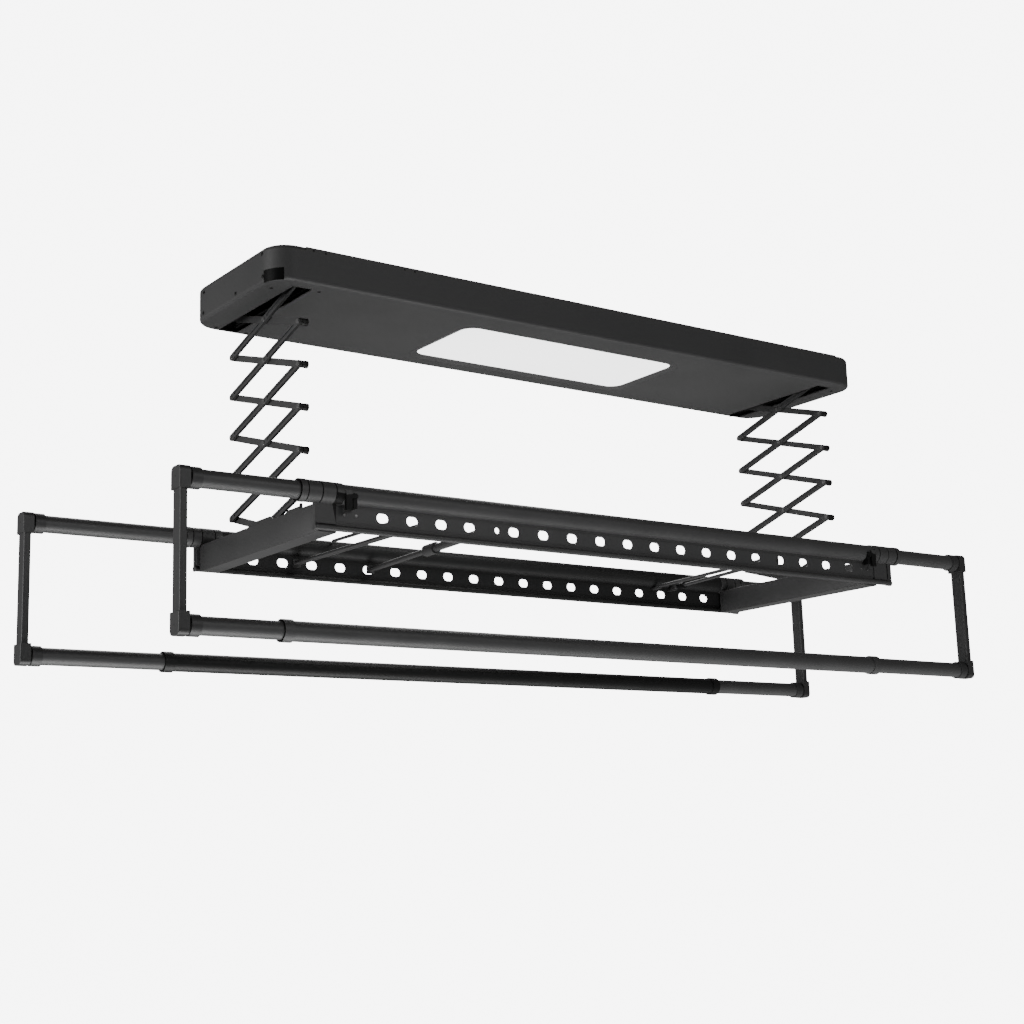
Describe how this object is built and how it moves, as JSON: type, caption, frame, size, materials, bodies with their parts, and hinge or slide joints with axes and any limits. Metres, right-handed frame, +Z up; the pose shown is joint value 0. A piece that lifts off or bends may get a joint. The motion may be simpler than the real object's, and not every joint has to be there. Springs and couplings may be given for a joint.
{
  "type": "ceiling clothes airer",
  "caption": "Ceiling box with a flat light that lowers a pierced double rail frame on two scissor lifts, with pull-out side frames and low hanging poles.",
  "frame": {"origin": "centre of the casing's top plane, in the plane of the ceiling it is screwed to", "axes": "+X along the casing and rails to the right, +Y away from the viewer across the width, +Z up into the ceiling"},
  "size_m": [1.83, 0.469, 0.664],
  "materials": {
    "casing_paint": "satin dark grey powder coat",
    "frame_paint": "satin dark grey powder coat",
    "arm_paint": "satin dark grey powder coat",
    "rail_coat": "satin dark grey powder coat over extruded aluminium",
    "fitting_plastic": "moulded, satin",
    "plated_steel": "zinc plated",
    "cable": "stranded wire",
    "cover_plastic": "moulded, matt",
    "dark_window": "gloss",
    "diffuser": "opal, satin",
    "lamp_board": "white coated board"
  },
  "bodies": {
    "casing": {"top_chassis": "plated_steel", "main_shell": "casing_paint", "left_end_cap": "casing_paint", "right_end_cap": "casing_paint", "corner_window": "dark_window", "light_frame": "casing_paint", "light_diffuser": "diffuser", "lamp_board": "lamp_board", "left_guide_track": "plated_steel", "right_guide_track": "plated_steel", "gearbox": "plated_steel", "drive_motor": "plated_steel", "control_box": "cover_plastic", "power_supply": "cover_plastic", "pull_cables": "cable"},
    "cross_shaft": {"cross_shaft": "plated_steel"},
    "idler_wheels": {"idler_wheels": "cover_plastic"},
    "left_slider": {"left_slider": "cover_plastic"},
    "right_slider": {"right_slider": "cover_plastic"},
    "left_arm_1a": {"left_arm_1a": "arm_paint"},
    "left_arm_1b": {"left_arm_1b": "arm_paint"},
    "left_arm_2a": {"left_arm_2a": "arm_paint"},
    "left_arm_2b": {"left_arm_2b": "arm_paint"},
    "left_arm_3a": {"left_arm_3a": "arm_paint"},
    "left_arm_3b": {"left_arm_3b": "arm_paint"},
    "left_arm_4a": {"left_arm_4a": "arm_paint"},
    "left_arm_4b": {"left_arm_4b": "arm_paint"},
    "left_arm_5a": {"left_arm_5a": "arm_paint"},
    "left_arm_5b": {"left_arm_5b": "arm_paint"},
    "left_arm_6a": {"left_arm_6a": "arm_paint"},
    "left_arm_6b": {"left_arm_6b": "arm_paint"},
    "right_arm_1a": {"right_arm_1a": "arm_paint"},
    "right_arm_1b": {"right_arm_1b": "arm_paint"},
    "right_arm_2a": {"right_arm_2a": "arm_paint"},
    "right_arm_2b": {"right_arm_2b": "arm_paint"},
    "right_arm_3a": {"right_arm_3a": "arm_paint"},
    "right_arm_3b": {"right_arm_3b": "arm_paint"},
    "right_arm_4a": {"right_arm_4a": "arm_paint"},
    "right_arm_4b": {"right_arm_4b": "arm_paint"},
    "right_arm_5a": {"right_arm_5a": "arm_paint"},
    "right_arm_5b": {"right_arm_5b": "arm_paint"},
    "right_arm_6a": {"right_arm_6a": "arm_paint"},
    "right_arm_6b": {"right_arm_6b": "arm_paint"},
    "hanging_frame": {"near_rail": "rail_coat", "far_rail": "rail_coat", "left_crossbar": "frame_paint", "right_crossbar": "frame_paint", "foot_plates": "frame_paint", "end_castings": "fitting_plastic", "cross_rods": "frame_paint"},
    "near_left_frame": {"near_left_inner_tubes": "rail_coat", "near_left_side_frame": "rail_coat"},
    "near_right_frame": {"near_right_inner_tubes": "rail_coat", "near_right_side_frame": "rail_coat"},
    "far_left_frame": {"far_left_inner_tubes": "rail_coat", "far_left_side_frame": "rail_coat"},
    "far_right_frame": {"far_right_inner_tubes": "rail_coat", "far_right_side_frame": "rail_coat"},
    "near_pole": {"near_pole": "rail_coat"},
    "far_pole": {"far_pole": "rail_coat"}
  },
  "joints": [
    {"name": "lift", "type": "hinge", "parent": "casing", "child": "left_arm_1a", "pos_m": [-0.607, -0.115, -0.043], "axis": [-1, 0, 0], "range_deg": [-13.3, 31.7]},
    {"name": "left_knee_1", "type": "hinge", "parent": "left_arm_1a", "child": "left_arm_2b", "pos_m": [-0.607, 0.126, -0.1155], "axis": [-1, 0, 0], "range_deg": [-63.4, 26.6]},
    {"name": "left_knee_2", "type": "hinge", "parent": "left_arm_2b", "child": "left_arm_3a", "pos_m": [-0.607, -0.115, -0.188], "axis": [-1, 0, 0], "range_deg": [-26.6, 63.4]},
    {"name": "left_knee_3", "type": "hinge", "parent": "left_arm_3a", "child": "left_arm_4b", "pos_m": [-0.607, 0.126, -0.2605], "axis": [-1, 0, 0], "range_deg": [-63.4, 26.6]},
    {"name": "left_knee_4", "type": "hinge", "parent": "left_arm_4b", "child": "left_arm_5a", "pos_m": [-0.607, -0.115, -0.333], "axis": [-1, 0, 0], "range_deg": [-26.6, 63.4]},
    {"name": "left_knee_5", "type": "hinge", "parent": "left_arm_5a", "child": "left_arm_6b", "pos_m": [-0.607, 0.126, -0.4055], "axis": [-1, 0, 0], "range_deg": [-63.4, 26.6]},
    {"name": "left_crossing_1", "type": "hinge", "parent": "left_arm_1a", "child": "left_arm_1b", "pos_m": [-0.607, 0.0055, -0.07925], "axis": [-1, 0, 0], "range_deg": [-63.4, 26.6]},
    {"name": "left_crossing_2", "type": "hinge", "parent": "left_arm_2b", "child": "left_arm_2a", "pos_m": [-0.607, 0.0055, -0.15175], "axis": [-1, 0, 0], "range_deg": [-26.6, 63.4]},
    {"name": "left_crossing_3", "type": "hinge", "parent": "left_arm_3a", "child": "left_arm_3b", "pos_m": [-0.607, 0.0055, -0.22425], "axis": [-1, 0, 0], "range_deg": [-63.4, 26.6]},
    {"name": "left_crossing_4", "type": "hinge", "parent": "left_arm_4b", "child": "left_arm_4a", "pos_m": [-0.607, 0.0055, -0.29675], "axis": [-1, 0, 0], "range_deg": [-26.6, 63.4]},
    {"name": "left_crossing_5", "type": "hinge", "parent": "left_arm_5a", "child": "left_arm_5b", "pos_m": [-0.607, 0.0055, -0.36925], "axis": [-1, 0, 0], "range_deg": [-63.4, 26.6]},
    {"name": "left_crossing_6", "type": "hinge", "parent": "left_arm_6b", "child": "left_arm_6a", "pos_m": [-0.607, 0.0055, -0.44175], "axis": [-1, 0, 0], "range_deg": [-26.6, 63.4]},
    {"name": "left_slider_pin", "type": "hinge", "parent": "left_arm_1b", "child": "left_slider", "pos_m": [-0.607, 0.126, -0.043], "axis": [-1, 0, 0], "range_deg": [-13.3, 31.7]},
    {"name": "right_lift", "type": "hinge", "parent": "casing", "child": "right_arm_1a", "pos_m": [0.607, -0.115, -0.043], "axis": [-1, 0, 0], "range_deg": [-13.3, 31.7]},
    {"name": "right_knee_1", "type": "hinge", "parent": "right_arm_1a", "child": "right_arm_2b", "pos_m": [0.607, 0.126, -0.1155], "axis": [-1, 0, 0], "range_deg": [-63.4, 26.6]},
    {"name": "right_knee_2", "type": "hinge", "parent": "right_arm_2b", "child": "right_arm_3a", "pos_m": [0.607, -0.115, -0.188], "axis": [-1, 0, 0], "range_deg": [-26.6, 63.4]},
    {"name": "right_knee_3", "type": "hinge", "parent": "right_arm_3a", "child": "right_arm_4b", "pos_m": [0.607, 0.126, -0.2605], "axis": [-1, 0, 0], "range_deg": [-63.4, 26.6]},
    {"name": "right_knee_4", "type": "hinge", "parent": "right_arm_4b", "child": "right_arm_5a", "pos_m": [0.607, -0.115, -0.333], "axis": [-1, 0, 0], "range_deg": [-26.6, 63.4]},
    {"name": "right_knee_5", "type": "hinge", "parent": "right_arm_5a", "child": "right_arm_6b", "pos_m": [0.607, 0.126, -0.4055], "axis": [-1, 0, 0], "range_deg": [-63.4, 26.6]},
    {"name": "right_crossing_1", "type": "hinge", "parent": "right_arm_1a", "child": "right_arm_1b", "pos_m": [0.607, 0.0055, -0.07925], "axis": [-1, 0, 0], "range_deg": [-63.4, 26.6]},
    {"name": "right_crossing_2", "type": "hinge", "parent": "right_arm_2b", "child": "right_arm_2a", "pos_m": [0.607, 0.0055, -0.15175], "axis": [-1, 0, 0], "range_deg": [-26.6, 63.4]},
    {"name": "right_crossing_3", "type": "hinge", "parent": "right_arm_3a", "child": "right_arm_3b", "pos_m": [0.607, 0.0055, -0.22425], "axis": [-1, 0, 0], "range_deg": [-63.4, 26.6]},
    {"name": "right_crossing_4", "type": "hinge", "parent": "right_arm_4b", "child": "right_arm_4a", "pos_m": [0.607, 0.0055, -0.29675], "axis": [-1, 0, 0], "range_deg": [-26.6, 63.4]},
    {"name": "right_crossing_5", "type": "hinge", "parent": "right_arm_5a", "child": "right_arm_5b", "pos_m": [0.607, 0.0055, -0.36925], "axis": [-1, 0, 0], "range_deg": [-63.4, 26.6]},
    {"name": "right_crossing_6", "type": "hinge", "parent": "right_arm_6b", "child": "right_arm_6a", "pos_m": [0.607, 0.0055, -0.44175], "axis": [-1, 0, 0], "range_deg": [-26.6, 63.4]},
    {"name": "right_slider_pin", "type": "hinge", "parent": "right_arm_1b", "child": "right_slider", "pos_m": [0.607, 0.126, -0.043], "axis": [-1, 0, 0], "range_deg": [-13.3, 31.7]},
    {"name": "left_foot", "type": "hinge", "parent": "left_arm_6b", "child": "hanging_frame", "pos_m": [-0.607, -0.115, -0.478], "axis": [-1, 0, 0], "range_deg": [-13.3, 31.7]},
    {"name": "shaft_turn", "type": "hinge", "parent": "casing", "child": "cross_shaft", "pos_m": [0, -0.085, -0.031], "axis": [1, 0, 0], "range_deg": [-286, 120]},
    {"name": "idler_turn", "type": "hinge", "parent": "casing", "child": "idler_wheels", "pos_m": [0, 0.136, -0.031], "axis": [1, 0, 0], "range_deg": [-286, 120]},
    {"name": "near_left_slide", "type": "slide", "parent": "hanging_frame", "child": "near_left_frame", "axis": [-1, 0, 0], "range_m": [-0.13, 0.1]},
    {"name": "near_right_slide", "type": "slide", "parent": "hanging_frame", "child": "near_right_frame", "axis": [1, 0, 0], "range_m": [-0.15, 0.1]},
    {"name": "far_left_slide", "type": "slide", "parent": "hanging_frame", "child": "far_left_frame", "axis": [-1, 0, 0], "range_m": [-0.19, 0.03]},
    {"name": "far_right_slide", "type": "slide", "parent": "hanging_frame", "child": "far_right_frame", "axis": [1, 0, 0], "range_m": [-0.135, 0.14]},
    {"name": "near_pole_slide", "type": "slide", "parent": "near_left_frame", "child": "near_pole", "axis": [-1, 0, 0], "range_m": [-0.1, 0.13]},
    {"name": "far_pole_slide", "type": "slide", "parent": "far_left_frame", "child": "far_pole", "axis": [-1, 0, 0], "range_m": [-0.03, 0.19]}
  ],
  "couplings": [
    {"joint": "left_knee_1", "follows": "lift", "ratio": -2},
    {"joint": "left_knee_2", "follows": "lift", "ratio": 2},
    {"joint": "left_knee_3", "follows": "lift", "ratio": -2},
    {"joint": "left_knee_4", "follows": "lift", "ratio": 2},
    {"joint": "left_knee_5", "follows": "lift", "ratio": -2},
    {"joint": "left_crossing_1", "follows": "lift", "ratio": -2},
    {"joint": "left_crossing_2", "follows": "lift", "ratio": 2},
    {"joint": "left_crossing_3", "follows": "lift", "ratio": -2},
    {"joint": "left_crossing_4", "follows": "lift", "ratio": 2},
    {"joint": "left_crossing_5", "follows": "lift", "ratio": -2},
    {"joint": "left_crossing_6", "follows": "lift", "ratio": 2},
    {"joint": "left_slider_pin", "follows": "lift", "ratio": 1},
    {"joint": "right_lift", "follows": "lift", "ratio": 1},
    {"joint": "right_knee_1", "follows": "lift", "ratio": -2},
    {"joint": "right_knee_2", "follows": "lift", "ratio": 2},
    {"joint": "right_knee_3", "follows": "lift", "ratio": -2},
    {"joint": "right_knee_4", "follows": "lift", "ratio": 2},
    {"joint": "right_knee_5", "follows": "lift", "ratio": -2},
    {"joint": "right_crossing_1", "follows": "lift", "ratio": -2},
    {"joint": "right_crossing_2", "follows": "lift", "ratio": 2},
    {"joint": "right_crossing_3", "follows": "lift", "ratio": -2},
    {"joint": "right_crossing_4", "follows": "lift", "ratio": 2},
    {"joint": "right_crossing_5", "follows": "lift", "ratio": -2},
    {"joint": "right_crossing_6", "follows": "lift", "ratio": 2},
    {"joint": "right_slider_pin", "follows": "lift", "ratio": 1},
    {"joint": "left_foot", "follows": "lift", "ratio": 1},
    {"joint": "shaft_turn", "follows": "lift", "ratio": -9},
    {"joint": "idler_turn", "follows": "lift", "ratio": -9},
    {"joint": "near_pole_slide", "follows": "near_left_slide", "ratio": -1},
    {"joint": "far_pole_slide", "follows": "far_left_slide", "ratio": -1}
  ]
}
